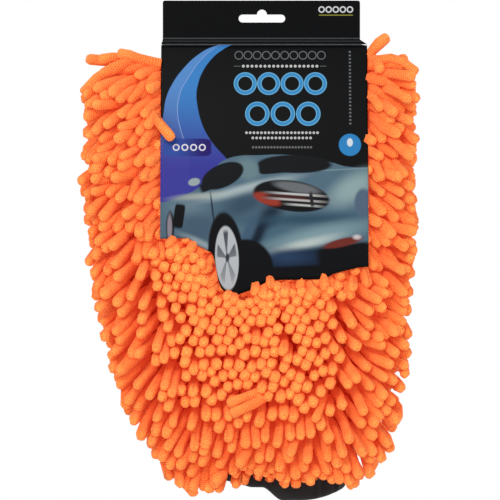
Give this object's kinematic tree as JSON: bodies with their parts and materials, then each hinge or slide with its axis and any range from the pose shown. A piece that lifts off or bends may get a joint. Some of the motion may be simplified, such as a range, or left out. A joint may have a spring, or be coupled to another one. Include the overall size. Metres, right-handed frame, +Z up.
{
  "type": "wash mitt",
  "caption": "Microfibre chenille wash mitt with a strand pile on both sides and an elastic cuff, hung from a folded die-cut header card with a peg slot.",
  "frame": {"origin": "top of the hang slot in the card's header, where a peg bears", "axes": "+Z up as the mitt hangs, +X to the right seen from the front, the printed front faces -Y"},
  "size_m": [0.2022, 0.0607, 0.2887],
  "materials": {
    "printed_board": "coated board, satin black print",
    "clear_nylon": "clear moulded nylon",
    "chenille": "short brushed orange microfibre chenille",
    "backing_cloth": "woven orange backing",
    "black_knit": "black warp-knit lining",
    "seam_tape": "overlocked orange seam",
    "black_jersey": "black smooth jersey",
    "elastic": "knitted elastic tape",
    "black_thread": "black polyester sewing thread",
    "label_satin": "blank white satin label"
  },
  "bodies": {
    "header": {"header_front_ply": "printed_board", "header_rear_ply": "printed_board"},
    "front_flap": {"front_panel": "printed_board"},
    "mitt": {"rear_panel": "printed_board", "tag_pin_left": "clear_nylon", "tag_pin_right": "clear_nylon", "front_pile": "chenille", "rear_pile": "chenille", "front_backing": "backing_cloth", "rear_backing": "backing_cloth", "front_lining": "black_knit", "rear_lining": "black_knit", "edge_seam": "seam_tape", "cuff_casing": "black_jersey", "cuff_elastic": "elastic", "cuff_hem_thread": "black_thread", "cuff_join_thread": "black_thread", "care_label": "label_satin"}
  },
  "joints": [
    {"name": "front_panel_fold", "type": "hinge", "parent": "header", "child": "front_flap", "pos_m": [0.0013, -0.0008, -0.0206], "axis": [-1, 0, 0], "range_deg": [0, 150]},
    {"name": "rear_panel_fold", "type": "hinge", "parent": "header", "child": "mitt", "pos_m": [0.0013, 0.0008, -0.0206], "axis": [1, 0, 0], "range_deg": [0, 60]}
  ]
}
